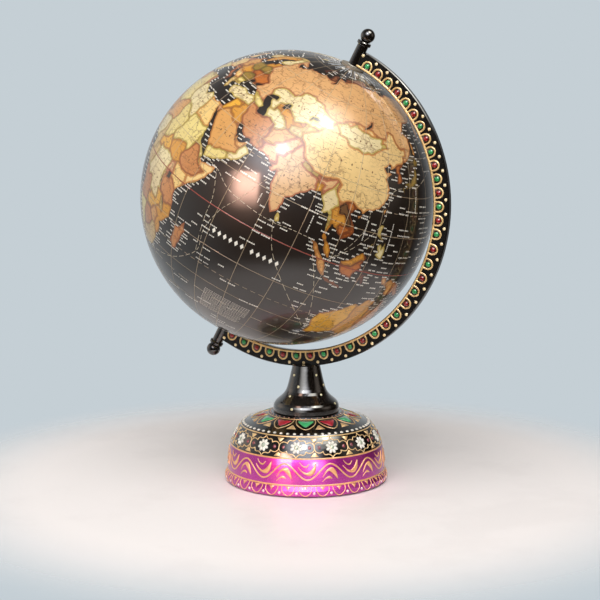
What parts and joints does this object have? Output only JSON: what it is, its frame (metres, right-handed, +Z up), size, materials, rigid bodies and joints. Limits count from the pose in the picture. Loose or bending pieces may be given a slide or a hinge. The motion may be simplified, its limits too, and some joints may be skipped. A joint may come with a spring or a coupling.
{
  "type": "desktop globe on stand",
  "caption": "Desktop globe that turns on a tilted through rod held by a C-shaped arm, on a turned stem and a domed lacquered base.",
  "frame": {"origin": "centre of the felt pad's underside, below the stem's axis", "axes": "+Z up along the stem; +X towards the outer bulge of the arm; the arm lies in the XZ plane"},
  "size_m": [0.2205, 0.2032, 0.311],
  "materials": {
    "black_lacquer": "gloss black lacquer with hand-painted gold, red and green enamel",
    "base_lacquer": "gloss black lacquer on the crown, candy magenta on the wall, hand-painted gold ornament",
    "black_fitting": "semi-gloss black",
    "steel": "bright zinc",
    "washer_nylon": "natural nylon",
    "shell_plastic": "plain moulded",
    "bush_plastic": "grey-beige moulded",
    "map_paper": "printed and gloss varnished, dark sea and antique-coloured land",
    "plate_board": "plain black primer",
    "felt": "black felt"
  },
  "bodies": {
    "stand": {"meridian_arm": "black_lacquer", "upper_sleeve": "black_fitting", "lower_sleeve": "black_fitting", "axle_rod": "steel", "upper_ball_nut": "black_fitting", "lower_ball_nut": "black_fitting", "upper_washer": "washer_nylon", "lower_washer": "washer_nylon", "stem": "black_lacquer", "base_dome": "base_lacquer", "tie_bolt": "steel", "spring_washer": "steel", "bolt_washer": "steel", "bottom_plate": "plate_board", "plate_screws": "steel", "felt_pad": "felt"},
    "globe": {"north_shell": "shell_plastic", "south_shell": "shell_plastic", "joining_ring": "shell_plastic", "north_bush": "bush_plastic", "south_bush": "bush_plastic", "map_north": "map_paper", "map_south": "map_paper"}
  },
  "joints": [
    {"name": "globe_spin", "type": "hinge", "parent": "stand", "child": "globe", "pos_m": [-0.0143, 0, 0.19639], "axis": [0.4756, 0, 0.8796], "continuous": true}
  ]
}
